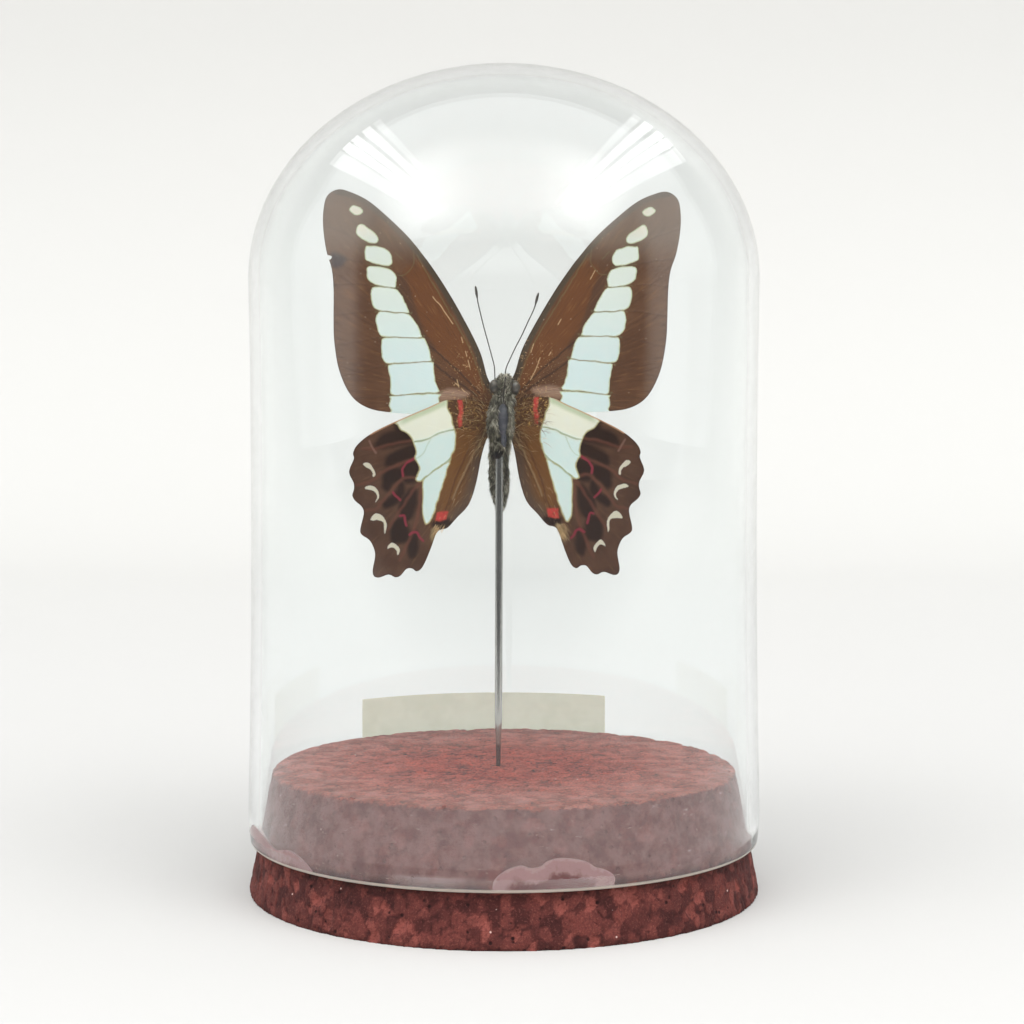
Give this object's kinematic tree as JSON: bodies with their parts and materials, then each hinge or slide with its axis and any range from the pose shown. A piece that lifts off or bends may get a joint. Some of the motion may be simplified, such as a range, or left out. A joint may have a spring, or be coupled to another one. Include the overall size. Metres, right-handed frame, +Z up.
{
  "type": "mounted butterfly in glass dome",
  "caption": "Pinned blue-banded butterfly held upright on a steel needle inside a round blown glass dome, on a tapered red-stained cork base with a blank paper label.",
  "frame": {"origin": "centre of the cork's flat underside", "axes": "+Z up along the dome's axis; -Y is the front, where the butterfly shows its underside and the label is behind; +X is the viewer's right"},
  "size_m": [0.093, 0.0936, 0.1496],
  "materials": {
    "stained_cork": "pressed cork granules, stained red-brown, matt and slightly pitted",
    "clear_glass": "clear blown glass, fire-polished",
    "polished_steel": "bright polished needle steel",
    "body_scales": "dry grey-olive insect body with fine pale hairs",
    "forewing_scales": "matt brown wing scales with a band of pale aqua windows",
    "hindwing_scales": "matt brown wing scales with a cream and aqua band, red marks and pale lunules",
    "antenna_horn": "dry dark chitin",
    "label_paper": "aged off-white paper, uncoated",
    "dried_glue": "dried translucent glue, soft gloss"
  },
  "bodies": {
    "root": {"cork_base": "stained_cork", "glass_dome": "clear_glass", "needle": "polished_steel", "butterfly_body": "body_scales", "forewing_left": "forewing_scales", "forewing_right": "forewing_scales", "hindwing_left": "hindwing_scales", "hindwing_right": "hindwing_scales", "antenna_left": "antenna_horn", "antenna_right": "antenna_horn", "label": "label_paper", "glue_dab_front": "dried_glue", "glue_dab_left": "dried_glue"}
  },
  "joints": []
}
